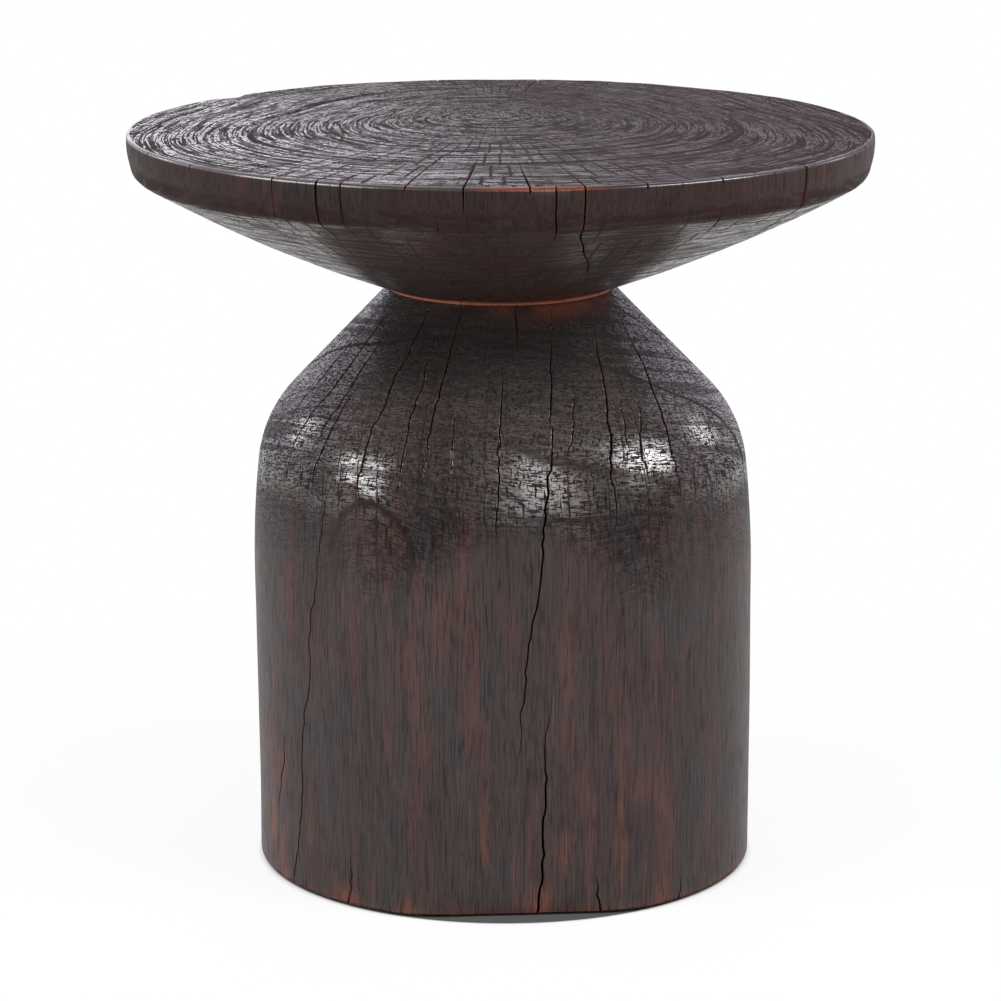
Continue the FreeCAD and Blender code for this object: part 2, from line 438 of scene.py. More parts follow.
def stretch(start, end, count):
    """Points of a straight stretch of an outline, without its last one."""
    share = np.linspace(0.0, 1.0, count, endpoint=False)[:, None]
    return np.array(start) * (1 - share) + np.array(end) * share


def path(corners, counts):
    """Straight stretches from corner to corner, with that many points each."""
    return [stretch(start, end, count) for start, end, count in zip(corners, corners[1:], counts)]


def bend(start, corner, end, count):
    """Points of a rounded corner, a parabola that touches both of its sides, without its last one."""
    share = np.linspace(0.0, 1.0, count, endpoint=False)[:, None]
    start, corner, end = np.array(start), np.array(corner), np.array(end)
    return start * (1 - share) ** 2 + 2 * corner * share * (1 - share) + end * share ** 2


def outline_normals(outline):
    """Outward normals of an outline that runs clockwise round the solid, from its neighbours' directions."""
    along = np.gradient(outline, axis=0)
    along /= np.maximum(np.linalg.norm(along, axis=1, keepdims=True), 1e-9)
    return np.stack([-along[:, 1], along[:, 0]], axis=1)


def columns_along(lines, radius, step):
    """Which check lines each column of a grid stands at or between.

    Seven columns stand close about every line, and the gaps between lines are filled evenly, about a step
    apart at that radius. Gives each column's line on its left and on its right, its share of the way
    between them, and its place among the seven, or -1.
    """
    count = len(lines)
    left, right, share, place = [], [], [], []
    for i in range(count):
        left += [i] * COLUMNS_PER_CHECK
        right += [i] * COLUMNS_PER_CHECK
        share += [0.0] * COLUMNS_PER_CHECK
        place += list(range(COLUMNS_PER_CHECK))
        gap = math.radians((lines[(i + 1) % count] - lines[i]) % FULL_TURN) * radius
        fill = max(int(round(gap / step)) - 1, 1)
        left += [i] * fill
        right += [(i + 1) % count] * fill
        share += list((np.arange(fill) + 1) / (fill + 1))
        place += [-1] * fill
    return np.array(left), np.array(right), np.array(share), np.array(place)


def turns_of(columns, line_turns, gaps, radius):
    """Turn of every point of the grid, rows by columns.
    """
    left, right, share, place = columns
    gap = np.maximum(gaps, SHUT_GAP)
    degrees = np.degrees(1.0 / np.maximum(radius, LEAST_RADIUS))[:, None]
    reach = (gap + CHECK_LIP + CHECK_STRIP) * degrees
    lip = (gap + CHECK_LIP) * degrees
    beside = np.stack([-reach, -lip, -gap * degrees, 0 * gap, gap * degrees, lip, reach], axis=-1)
    at_line = line_turns[:, left] + beside[:, left, np.maximum(place, 0)]
    start = line_turns[:, left] + reach[:, left]
    end = line_turns[:, right] - reach[:, right] + np.where(right < left, FULL_TURN, 0.0)
    return np.where(place >= 0, at_line, start * (1 - share) + end * share)


def closed_skin(name, grid, ring, layers, crisp=None):
    """A closed mesh from a grid of points, in millimetres, with its columns running round the axis.

    Rows follow the outline. Where ring is true the last row joins the first, and otherwise the first and
    the last row are each one point, where a fan of triangles closes the skin. Layers are attributes of the
    points. A face with a corner that is crisp isn't smoothed into its neighbours.
    """
    rows, cols = grid.shape[:2]
    body_rows = np.arange(rows) if ring else np.arange(1, rows - 1)
    points = grid[body_rows].reshape(-1, 3)
    values = {}
    for key, layer in layers.items():
        values[key] = layer[body_rows].reshape((len(points),) + layer.shape[2:])
    count = len(body_rows)
    upper = np.arange(count if ring else count - 1)
    lower = (upper + 1) % count
    here = np.arange(cols)
    there = (here + 1) % cols
    quads = np.stack([
        upper[:, None] * cols + here, lower[:, None] * cols + here,
        lower[:, None] * cols + there, upper[:, None] * cols + there,
    ], axis=-1).reshape(-1, 4)
    smooth = np.ones(len(quads), dtype=bool)
    if crisp is not None:
        smooth = ~crisp[body_rows].reshape(-1)[quads].any(axis=1)
    faces = quads.tolist()
    if not ring:
        first, last = len(points), len(points) + 1
        points = np.concatenate([points, grid[:1, 0], grid[-1:, 0]])
        for key, layer in layers.items():
            values[key] = np.concatenate([values[key], layer[:1, 0], layer[-1:, 0]])
        foot = (count - 1) * cols
        faces += np.stack([np.full(cols, first), here, there], axis=-1).tolist()
        faces += np.stack([np.full(cols, last), foot + there, foot + here], axis=-1).tolist()
        smooth = np.concatenate([smooth, np.ones(2 * cols, dtype=bool)])
    mesh = bpy.data.meshes.new(name)
    mesh.from_pydata((points * MM).tolist(), [], faces)
    mesh.polygons.foreach_set("use_smooth", smooth)
    mesh.validate()
    for key, layer in values.items():
        kind, field = ("FLOAT_VECTOR", "vector") if layer.ndim > 1 else ("FLOAT", "value")
        data = mesh.attributes.new(key, kind, "POINT").data
        data.foreach_set(field, layer.astype(np.float32).reshape(-1))
    piece = bpy.data.objects.new(name, mesh)
    bpy.context.scene.collection.objects.link(piece)
    return piece


def grid_points(radius, turn, height):
    """Points at those radii, turns and heights, as rows by columns."""
    angle = np.radians(turn)
    return np.stack([radius * np.sin(angle), -radius * np.cos(angle), height + 0 * angle], axis=-1)


def growth(points, pith, upper_z, lower_z, ring_width, circle_radius, front_growth):
    """Growth rings counted out from the pith, the way round it, and the way out from it in millimetres.

    The pith leans from its upper to its lower place. The distance from it is wobbled by broad noise, and is
    counted shorter to the front by the share by which the log grew faster there. The rings come closer and
    wider by turns. The way round is kept as a point on a circle, so that it has no seam.
    """
    share = ((upper_z - points[..., 2]) / (upper_z - lower_z))[..., None]
    aside = points[..., :2] - np.array(pith[0]) * (1 - share) - np.array(pith[1]) * share
    out = np.linalg.norm(aside, axis=-1)
    circle = aside / np.maximum(out, 1.0)[..., None] * circle_radius
    out = out / (1.0 + front_growth * ease(-circle[..., 1] / circle_radius, *FRONT_SPREAD))
    out = waved(out, points * RING_SQUEEZE, RING_WOBBLE)
    rings = out / ring_width
    for swing, size, begin in RING_SWELL:
        rings = rings + swing * np.sin(out / size + begin)
    return rings, circle, out


def upright_share(grid):
    """How far the surface of a grid faces up or down, from 0 to 1, by the normal of its rows and columns."""
    along = np.gradient(grid, axis=0)
    around = np.roll(grid, -1, axis=1) - np.roll(grid, 1, axis=1)
    normal = np.cross(along, around)
    return np.abs(normal[..., 2]) / np.maximum(np.linalg.norm(normal, axis=-1), 1e-9)


def ring_wave(rings, seed):
    """A wave once a ring, of a height that differs from ring to ring."""
    chance = noise(np.stack([np.floor(rings), 0 * rings, 0 * rings], axis=-1) + 0.001, 1.0, seed)
    return np.clip(np.sin(2 * np.pi * rings), RING_HOLLOW, 1.0) * raised(RING_HEIGHT, chance)


def back_turns(front_turns, seed):
    """Turns of the checks round the back, spread over what the front leaves, with a seeded wander."""
    draw = np.random.default_rng(seed)
    first, last = front_turns[-1], front_turns[0] + FULL_TURN
    places = np.linspace(first, last, BACK_CHECK_COUNT + 2)[1:-1]
    return places + draw.uniform(*BACK_WANDER, BACK_CHECK_COUNT), draw


def opening(height, spans):
    """Half the gap of a check at each height, widest midway along a span, or at the foot."""
    gap = np.zeros_like(height)
    for high, low, half in spans:
        middle, reach = (high + low) / 2, (high - low) / 2
        if low <= FOOT_Z:
            middle, reach = low, high - low
        gap = np.maximum(gap, half * taper(((height - middle) / reach) ** 2, 1.0))
    return gap


def wedge(columns, gaps, deepest):
    """Depth of the checks at every point of the grid: a wedge whose edge runs down its middle column."""
    left, _, _, place = columns
    depth = deepest * np.clip(gaps / FULL_GAP, 0.0, DEEPEST_SHARE)
    return depth[:, left] * (place == MIDDLE_COLUMN)


def lips(columns, gaps, points, worn):
    """Where the lips of the open checks have lost their black: the columns beside each gap, in stretches."""
    left, _, _, place = columns
    beside = np.isin(place, LIP_COLUMNS) & (gaps[:, left] > SHUT_GAP)
    return beside * patches(points, *worn)


# The base

def bell_radius(height):
    """Radius of the turned bell at each height.

    From below it is a foot that draws in a little, a belly arc, a shoulder arc tangent to it, and a cone
    tangent to that one. The angle at which the arcs meet follows from the neck, the drop and the two curves.
    """
    belly_z = SEAM_Z - SHOULDER_DROP
    reach = BELLY_CURVE - SHOULDER_CURVE
    to_cone = (NECK_RADIUS - BELLY_RADIUS + BELLY_CURVE) * math.cos(CONE_LEAN)
    to_cone += SHOULDER_DROP * math.sin(CONE_LEAN) - SHOULDER_CURVE
    start = CONE_LEAN - math.acos(to_cone / reach)
    centre_r = BELLY_RADIUS - BELLY_CURVE + reach * math.cos(start)
    centre_z = belly_z + reach * math.sin(start)
    foot = BELLY_RADIUS - FOOT_DRAW * (belly_z - height) / (belly_z - FOOT_Z)
    belly = BELLY_RADIUS - BELLY_CURVE + np.sqrt(np.maximum(BELLY_CURVE ** 2 - (height - belly_z) ** 2, 0))
    shoulder = centre_r + np.sqrt(np.maximum(SHOULDER_CURVE ** 2 - (height - centre_z) ** 2, 0))
    cone = NECK_RADIUS + (SEAM_Z - height) * math.tan(CONE_LEAN)
    shoulder_low = belly_z + BELLY_CURVE * math.sin(start)
    shoulder_high = centre_z + SHOULDER_CURVE * math.sin(CONE_LEAN)
    stretches = [height < belly_z, height < shoulder_low, height < shoulder_high]
    return np.select(stretches, [foot, belly, shoulder], cone)


def base_outline():
    """The loop that the base is turned from, with the rows where its side, its arris and its foot end.

    It runs down the outer side from the neck, then along foot, recess, bore, socket and seam.
    """
    socket = TENON_RADIUS + GLUE_GAP
    recess = WASHER_RADIUS + RECESS_SIDE_GAP
    foot_radius = BELLY_RADIUS - FOOT_DRAW
    arris_z = FOOT_Z + FOOT_ARRIS
    heights = np.concatenate([
        np.linspace(SEAM_Z, SEAM_Z - CLOSE_ROWS_DROP, CLOSE_ROWS, endpoint=False),
        np.linspace(SEAM_Z - CLOSE_ROWS_DROP, arris_z, SIDE_ROWS, endpoint=False),
    ])
    side = np.stack([bell_radius(heights), heights], axis=1)
    foot_edge = (foot_radius - FOOT_ARRIS, FOOT_Z)
    rest = [bend((foot_radius, arris_z), (foot_radius, FOOT_Z), foot_edge, EDGE_ROWS)]
    rest += path([
        foot_edge, (recess, FOOT_Z), (recess, RECESS_TOP_Z),
        (ROD_HOLE_RADIUS, RECESS_TOP_Z), (ROD_HOLE_RADIUS, TENON_LOW_Z), (socket, TENON_LOW_Z),
        (socket, SEAM_Z), (NECK_RADIUS, SEAM_Z),
    ], BASE_INNER_ROWS)
    arris_end = len(side) + len(rest[0])
    return np.concatenate([side] + rest), len(side), arris_end, arris_end + len(rest[1])


def base_lines():
    """Turn of each grain line at the neck, the shoulder and the foot, with the spans where it has opened."""
    back, draw = back_turns([c[1] for c in BASE_CHECKS], BACK_SEED)
    lines = list(BASE_CHECKS)
    for turn in back:
        high = draw.uniform(*BACK_HIGH)
        low = high - draw.uniform(*BACK_LENGTH)
        spans = [(high, low, draw.uniform(*BACK_GAP))]
        if draw.uniform() < BACK_FOOT_CHANCE:
            spans.append((draw.uniform(*BACK_FOOT_HIGH), 0, draw.uniform(*BACK_FOOT_GAP)))
        shoulder = turn + draw.uniform(*BACK_SHOULDER_TURN)
        foot = turn + draw.uniform(*BACK_FOOT_TURN)
        lines.append((turn, shoulder, foot, tuple(spans)))
    return lines


def line_turns_of_base(lines, heights):
    """Turn of each line at each height: straight in plan to the shoulder, then evenly to the foot."""
    neck, shoulder, foot = (np.array([line[i] for line in lines], dtype=float) for i in range(3))
    bend_z = SEAM_Z - GRAIN_BEND_DROP
    radius = bell_radius(np.clip(heights, bend_z, SEAM_Z))[:, None]
    reach = bell_radius(np.array([bend_z]))[0]
    share = np.clip((radius - NECK_RADIUS) / (reach - NECK_RADIUS), 0.0, 1.0)
    start, end = np.radians(neck), np.radians(shoulder)
    across = NECK_RADIUS * np.sin(start) * (1 - share) + reach * np.sin(end) * share
    ahead = NECK_RADIUS * np.cos(start) * (1 - share) + reach * np.cos(end) * share
    upper = np.degrees(np.arctan2(across, ahead))
    upper = shoulder + (upper - shoulder + FULL_TURN / 2) % FULL_TURN - FULL_TURN / 2
    down = np.clip((bend_z - heights) / (bend_z - FOOT_Z), 0.0, 1.0)[:, None]
    apart = LINES_APART * np.arange(len(lines))
    along = np.stack(np.broadcast_arrays(heights[:, None], apart, 0.0), axis=-1)
    wander = 0.0
    for swing, sharpness, size, seed in LINE_WANDER:
        wander = wander + swing * np.tanh(sharpness * noise(along, size, seed))
    return upper + (foot - shoulder) * down + wander


def make_base(sizes):
    """Skin of the base: the bell cut by two flats and leaned a little, carved with rings and checks."""
    ring_width, check_depth = sizes.ring_width / MM, sizes.check_depth / MM
    outline, side_end, arris_end, foot_end = base_outline()
    lines = base_lines()
    rows = np.arange(len(outline))
    outer = np.interp(rows, [arris_end, foot_end], [1.0, 0.0])
    gaps = np.stack([opening(outline[:, 1], line[3]) for line in lines], axis=1) * outer[:, None]
    columns = columns_along([line[1] for line in lines], BASE_COLUMN_RADIUS, BASE_COLUMN_STEP)
    turn = turns_of(columns, line_turns_of_base(lines, outline[:, 1]), gaps, outline[:, 0])
    outer = outer[:, None] + 0 * turn
    on_side = outer == 1.0
    radius = outline[:, :1] + 0 * turn
    heights = outline[:, 1:] + 0 * turn

    # The flats, which run out softly at their upper edge
    facing = np.abs(np.cos(np.radians(turn - FLAT_TURN)))
    flat = (BELLY_RADIUS - FLAT_DEPTH) / np.maximum(facing, LEAST_FACING)
    ease_width = FLAT_EASE + (FLAT_TOP_EASE - FLAT_EASE) * ease(outline[:, 1:], *FLAT_EASE_Z)
    radius = radius + (smooth_least(radius, flat, ease_width) - radius) * outer
    smooth = grid_points(radius, turn, heights)

    # The grain, which swells where it has figure
    rings, circle, out = growth(smooth, BASE_PITH, SEAM_Z, FOOT_Z, ring_width, BASE_CIRCLE, 0.0)
    end_grain = upright_share(smooth)
    for middle, height, swell in BASE_FIGURE:
        figure = hump(turn, middle, FIGURE_REACH[0]) * hump(heights, height, FIGURE_REACH[1])
        out = out + swell * figure
        rings = rings + swell * figure / ring_width
        end_grain = np.maximum(end_grain, FIGURE_END_GRAIN * figure)
    way_down = np.cumsum(np.linalg.norm(np.diff(outline, axis=0, prepend=outline[:1]), axis=1))[:, None]
    across = GRAIN_WAYS[0] * way_down + GRAIN_WAYS[1] * out
    grain = np.concatenate([circle, across[..., None]], axis=-1) * MM

    # Rings, waves and checks are carved along the normals, and the foot is moved aside
    normals = outline_normals(outline)
    normals[side_end:] = 0.0
    normals[side_end:arris_end, 0] = 1.0
    relief = BASE_RELIEF * sizes.ring_relief / MM * end_grain * ring_wave(rings, BASE_RING_SEED)
    depth = wedge(columns, gaps, check_depth)
    inward = (waved(relief, smooth, BASE_WAVES) + depth) * outer
    radius = radius - inward * normals[:, :1]
    heights = heights - inward * normals[:, 1:] * (rows > 0)[:, None]
    points = grid_points(radius, turn, heights)
    points[..., 0] += sizes.foot_shift / MM * outer * (SEAM_Z - points[..., 2]) / (SEAM_Z - FOOT_Z)

    # Where it is rubbed: below the seam, at the foot, on the lips of checks and in bare streaks
    from_seam = (SEAM_Z - outline[:, 1:]) * outer
    smear = hump(turn, SMEAR_TURN, SMEAR_REACH[0]) * hump(from_seam, 0.0, SMEAR_REACH[1])
    near_foot = hump(outline[:, 1:], FOOT_Z, FOOT_RUB_REACH)
    rub = (SMEAR_RUB * smear * patches(smooth, *SMEAR_PATCHES) + FOOT_RUB * near_foot) * on_side
    rub = np.maximum(rub, BASE_LIP_RUB * lips(columns, gaps, smooth, BASE_LIP_PATCHES))
    bare = patches(smooth * FIBRE_SQUEEZE, *BARE_PATCHES)
    bare = bare * raised(BARE_RUB, hump(heights, 0.0, BARE_REACH)) * ease(heights, *BARE_FADE)
    rub = np.maximum(rub, bare * on_side)

    # Where it is weathered, waxed and scorched, and darker toward the neck as painted shade under the top
    uneven = waved(heights, smooth, WEATHER_RISE_WAVE)
    weather = ease(uneven, *WEATHER_RISE)
    neck_shade = ease(waved(heights, smooth, NECK_SHADE_WAVE), *NECK_SHADE_FADE)
    weather = weather * (1.0 - NECK_SHADE_LOSS * neck_shade)
    wax = ease(uneven, *WAX_RISE) * (1.0 - WAX_LOSS * ease(heights, *WAX_FADE))
    scorch = raised(SCORCH_LEVELS, ease(waved(heights, smooth, SCORCH_FULL_WAVE), *SCORCH_FULL))
    scorch = scorch * ease(waved(heights, smooth, SCORCH_RISE_WAVE), *SCORCH_RISE)
    layers = {
        "rings": rings, "grain": grain, "end_grain": end_grain, "weather": weather, "rub": rub,
        "scorch": scorch, "wax": np.maximum(wax, LEAST_WAX), "check": depth / check_depth,
    }
    return closed_skin("pedestal_wood", points, True, layers, depth > CRISP_DEPTH)


# The top

def top_outline():
    """The half outline of the top, and the row where each stretch of it ends.

    It runs from the middle of the face out, down the rim, in to the neck and up the socket.
    """
    rim_foot = np.array([TOP_RADIUS - RIM_DRAFT, TABLE_HEIGHT - RIM_HEIGHT])
    land_top = np.array([NECK_RADIUS, SEAM_Z + NECK_LAND])
    chord = land_top - rim_foot
    chord_length = np.linalg.norm(chord)
    out = np.array([-chord[1], chord[0]]) / chord_length
    begin = RIM_LOWER_ROUND / chord_length
    share = np.linspace(begin, 1.0, UNDER_ROWS, endpoint=False)[:, None]
    under = rim_foot + chord * share + out * 4 * UNDERSIDE_BULGE * share * (1 - share)
    rim_top = np.array([TOP_RADIUS, TABLE_HEIGHT - ARRIS])
    rim_low = rim_foot + (rim_top - rim_foot) * (RIM_LOWER_ROUND / RIM_HEIGHT)
    rim = stretch(rim_top, rim_low, RIM_ROWS)
    along = np.linspace(0.0, 1.0, RIM_ROWS, endpoint=False)
    rim[:, 0] += RIM_BULGE * 4 * along * (1 - along)
    socket = TENON_RADIUS + GLUE_GAP
    socket_top = SEAM_Z + SOCKET_DEPTH
    hole_top = INSERT_HIGH_Z + INSERT_CHIP_SPACE
    parts = [
        stretch((0.0, TABLE_HEIGHT), (TOP_RADIUS - ARRIS, TABLE_HEIGHT), FACE_ROWS),
        bend((TOP_RADIUS - ARRIS, TABLE_HEIGHT), (TOP_RADIUS, TABLE_HEIGHT), rim_top, EDGE_ROWS),
        rim,
        bend(rim_low, rim_foot, under[0], ROUND_ROWS),
        under,
    ]
    parts += path([
        land_top, (NECK_RADIUS, SEAM_Z), (socket, SEAM_Z), (socket, socket_top),
        (INSERT_HOLE_RADIUS, socket_top), (INSERT_HOLE_RADIUS, hole_top), (0.0, hole_top),
    ], TOP_INNER_ROWS)
    parts.append(np.array([[0.0, hole_top]]))
    return np.concatenate(parts), np.cumsum([len(part) for part in parts])


def top_lines():
    back, draw = back_turns([c[0] for c in TOP_CHECKS], BACK_SEED + 1)
    lines = list(TOP_CHECKS)
    for turn in back:
        lines.append((
            turn, draw.uniform(*BACK_NECK_TURN), draw.uniform(*BACK_FACE_SPLIT),
            float(draw.uniform() > BACK_RIM_SHUT), draw.uniform(*BACK_UNDER_SPLIT),
            draw.uniform(*BACK_TOP_GAP)))
    return np.array(lines, dtype=float)


def top_gaps(lines, outline, ends):
    """Half the gap of each check in each row, along the face, the arris, the rim and the underside."""
    face_end, arris_end, _, round_end, under_end = ends[:5]
    face_split, rim_split, under_split, half = lines[:, 2:].T
    gaps = np.zeros((len(outline), len(lines)))
    share_in = 1 - outline[:face_end, :1] / (TOP_RADIUS - ARRIS)
    gaps[:face_end] = half * taper(share_in, face_split)
    gaps[face_end:arris_end] = half * np.maximum(face_split > 0, rim_split > 0)
    down = np.linspace(0.0, 1.0, round_end - arris_end)[:, None]
    part_way = taper(down, rim_split)
    from_below = (under_split > 0) * ease(down, *UNDER_RISE)
    through = (under_split > 0) & (rim_split > 0)
    gaps[arris_end:round_end] = half * np.where(through, 1.0, np.maximum(part_way, from_below))
    inward = (TOP_RADIUS - outline[round_end:under_end, :1]) / (TOP_RADIUS - NECK_RADIUS)
    gaps[round_end:under_end] = half * taper(inward, under_split)
    return gaps


def make_top(sizes):
    """Skin of the top: its outline turned about the axis, with a face drawn in to the pith."""
    ring_width, check_depth = sizes.top_ring_width / MM, sizes.check_depth / MM
    outline, ends = top_outline()
    face_end, arris_end, rim_end, round_end, under_end, land_end = ends[:6]
    rows = np.arange(len(outline))[:, None]
    reach = outline[:, :1]
    on_face = rows < face_end
    above = rows < arris_end
    on_edge = above & ~on_face
    below = (rows >= arris_end) & (rows < under_end - 1)
    on_land = (rows >= under_end - 1) & (rows < land_end)

    # The checks turn on as they run in along the underside, and wander a little
    lines = top_lines()
    gaps = top_gaps(lines, outline, ends)
    inward_share = (TOP_RADIUS - reach) / (TOP_RADIUS - NECK_RADIUS) * (rows >= rim_end)
    inward_share = np.clip(inward_share, 0.0, 1.0)
    drawn = np.clip(inward_share / CHECK_TURNED, 0.0, 1.0) ** CHECK_TURN_POWER
    under_way, face_way, apart = WANDER_WAYS
    along = under_way * inward_share + face_way * (reach - TOP_RADIUS) / TOP_RADIUS
    along = along + apart * np.arange(len(lines))
    wander = 0.0
    for swing, size in TOP_WANDER:
        wander = wander + swing * np.sin(along / size)
    columns = columns_along(lines[:, 0], TOP_RADIUS, TOP_COLUMN_STEP)
    turn = turns_of(columns, lines[:, 0] + lines[:, 1] * drawn + wander, gaps, outline[:, 0])
    smooth = grid_points(reach + 0 * turn, turn, outline[:, 1:] + 0 * turn)
    to_pith = (1 - reach / (TOP_RADIUS - ARRIS)) * on_face
    smooth[..., :2] += to_pith[..., None] * np.array(TOP_PITH[0])

    # The grain, which lies open on the face and hardly below it
    rings, circle, out = growth(smooth, TOP_PITH, TABLE_HEIGHT, SEAM_Z, ring_width, TOP_CIRCLE, FRONT_GROWTH)
    grain = np.concatenate([circle, out[..., None]], axis=-1) * MM
    normals = outline_normals(outline)
    normals[:face_end] = (0.0, 1.0)
    end_grain = ease(np.abs(normals[:, 1:]), *END_GRAIN_TILT) + 0 * turn
    end_grain = np.where(above, end_grain, np.minimum(end_grain, UNDER_END_GRAIN)) * ~on_edge
    # The left of the face is weathered, and its lighter ash there is partly painted sheen
    from_left = waved(-smooth[..., 0] - WEATHER_SLANT * smooth[..., 1], smooth, FACE_WAVE)
    weather = ease(from_left, *FACE_WEATHER_AND_SHEEN)

    # Rings, waves, checks, the split along a ring and a chip are carved along the normals
    strength = sizes.ring_relief / MM * raised(TOP_RELIEF, weather * on_face)
    relief = waved(strength * ring_wave(rings, TOP_RING_SEED) * (rows > LAST_PLAIN_ROW), smooth, TOP_WAVES)
    depth = wedge(columns, gaps, check_depth) * np.where(on_face, FACE_CHECK_SHARE, 1.0)
    about_pith = np.degrees(np.arctan2(circle[..., 0], -circle[..., 1]))
    shake = hump(out, SHAKE_OUT, SHAKE_WIDTH) * ease(np.abs(about_pith - SHAKE_TURN), *SHAKE_FADE) * on_face
    inward = (relief + depth + SHAKE_DEPTH * shake) * (rows < under_end)
    chip = hump(turn, *CHIP) * hump(reach, TOP_RADIUS, CHIP_REACH) * (rows < rim_end)
    points = smooth.copy()
    angle = np.radians(turn)
    points[..., 0] -= inward * normals[:, :1] * np.sin(angle)
    points[..., 1] += inward * normals[:, :1] * np.cos(angle)
    points[..., 2] -= inward * normals[:, 1:] + CHIP_DEPTH * chip

    # Where it is waxed, scorched and rubbed
    polished = on_edge * raised(EDGE_WAX, hump(turn, *POLISHED))
    upper_wax = np.maximum(raised(FACE_WAX, weather ** FACE_WAX_POWER), polished)
    under_wax = raised(UNDER_WAX, ease(np.abs(normals[:, 1:]), *UNDER_WAX_TILT))
    charred = raised(RIM_SCORCH, noise(smooth * FIBRE_SQUEEZE, RIM_SCORCH_SIZE, RIM_SCORCH_SEED))
    charred = charred * (1.0 - RIM_SCORCH_LOSS * hump(turn, *LESS_CHARRED)) * (rows < round_end)
    scorch = np.where(above, raised(FACE_SCORCH, weather), charred)
    from_worn = np.abs(turn - WORN[0]) / WORN[1]
    worn = WORN_RUB * ease(noise(smooth, WORN_SIZE, WORN_SEED) - from_worn, *WORN_LEVELS)
    rub = np.maximum(on_edge * worn + on_land, TOP_LIP_RUB * lips(columns, gaps, smooth, TOP_LIP_PATCHES))
    rub = rub + UNDER_RUB * below + FACE_RUB * (1 - weather) * on_face
    layers = {
        "rings": rings, "grain": grain, "end_grain": end_grain, "weather": weather * above,
        "scorch": scorch, "wax": np.where(above, upper_wax, under_wax), "rub": rub,
        "check": np.maximum(depth / check_depth, SHAKE_SHADE * shake),
    }
    return closed_skin("tabletop_wood", points, False, layers, depth > CRISP_DEPTH)


# The glides

def make_glide(node):
    """A felt disc: flat below and above, with a side that bulges under the weight and a ragged cut edge."""
    low, high = box_mm(node)
    middle = (low + high) / 2
    radius = (high[0] - low[0]) / 2
    upper, bulge, lower = (radius * share for share in GLIDE_SIDE)
    turn = np.linspace(0.0, FULL_TURN, GLIDE_COLUMNS, endpoint=False)[None, :]
    outline = np.concatenate([
        stretch((0.0, high[2]), (upper, high[2]), GLIDE_ROWS[0]),
        bend((upper, high[2]), (bulge, middle[2]), (lower, low[2]), GLIDE_ROWS[1]),
        stretch((lower, low[2]), (0.0, low[2]), GLIDE_ROWS[2]),
        np.array([[0.0, low[2]]]),
    ])
    reach = outline[:, :1] + 0 * turn
    height = outline[:, 1:] + 0 * turn
    fray = waved(0.0, grid_points(reach, turn, height) + middle, GLIDE_FRAY) * (reach / radius) ** FRAY_POWER
    points = grid_points(reach + fray, turn, np.clip(height + fray * FRAY_LIFT, low[2], high[2]))
    points[..., :2] += middle[:2]
    return closed_skin(node + "_disc", points, False, {})


# Materials

def add(tree, kind, *values, named=None, out=None, **settings):
    """Adds a shader node and gives the output asked for, or else its first.

    Its settings come first, since they decide which inputs it has. The values fill or link those inputs in
    order, and the named ones the inputs of those names.
    """
    made = tree.nodes.new("ShaderNode" + kind)
    for key, value in settings.items():
        setattr(made, key, value)
    filled = list(zip([socket for socket in made.inputs if socket.enabled], values))
    filled += [(made.inputs[key], value) for key, value in (named or {}).items()]
    for socket, value in filled:
        if isinstance(value, bpy.types.NodeSocket):
            tree.links.new(value, socket)
        else:
            socket.default_value = value
    if out is not None:
        return made.outputs[out]
    return next((socket for socket in made.outputs if socket.enabled), None)


def new_material(name):
    """An empty node material, and the function that adds nodes to it."""
    material = bpy.data.materials.new(name)
    material.use_nodes = True
    material.node_tree.nodes.clear()
    return material, functools.partial(add, material.node_tree)


def per_metre(*sizes_mm):
    """The scale of a pattern of those sizes: how often it repeats in a metre on each axis."""
    return {"Scale": tuple(1 / (size * MM) for size in sizes_mm)}


# Patterns of the wood: width across the grain and length along it, in millimetres, and their finer detail.
# The pores are drawn wider than the half millimetre of real ones, which the render couldn't show
WOOD_PATTERNS = {
    "pores": (0.75, 18.0, 1.0),
    "pits": (1.3, 30.0, 1.0),
    "fibres": (1.7, 45.0, 2.0),
    "streaks": (12.0, 190.0, 3.0),
    "threads": (1.8, 60.0, 1.0),
    "blotches": (34.0, 80.0, 2.0),
    "patches": (60.0, 110.0, 2.0),
    "jitter": (5.0, 14.0, 1.0),
}
PATTERN_ROUGHNESS = 0.55
GRAIN_WANDER = 2.5
WANDER_SIZE = (16.0, 45.0)

# Colours over the brown of the long grain: the pattern, the levels of it between which the colour comes in,
# how far it does, and its setting
LONG_GRAIN = (
    ("streaks", 0.45, 0.8, 1.0, "red"),
    ("blotches", 0.46, 0.66, 0.45, "slate"),
    ("threads", 0.66, 0.78, 0.3, "rubbed"),
    ("fibres", 0.54, 0.34, 0.4, "soot"),
)

# Bands of the end grain: length round the pith and width across it, in millimetres, how dark they are, and
# the level of the noise below which they lie
TOP_BANDS = ((60.0, 3.0, 0.55, 0.43), (45.0, 1.4, 0.75, 0.465), (9.0, 1.1, 0.65, 0.435))
BASE_BANDS = ((140.0, 3.6, 0.5, 0.42), (4.5, 0.7, 0.75, 0.425), (2.0, 0.7, 0.9, 0.425))
BAND_EDGE = 0.03
RAY_SIZE = (1.6, 9.0)

# Hair checks: how many rings each runs across before it slips aside. Then how far the lines of the rings and
# of the hair checks shake, in rings and in hair checks
RINGS_PER_COURSE = 4
RING_JITTER = 0.2
HAIR_JITTER = 0.25

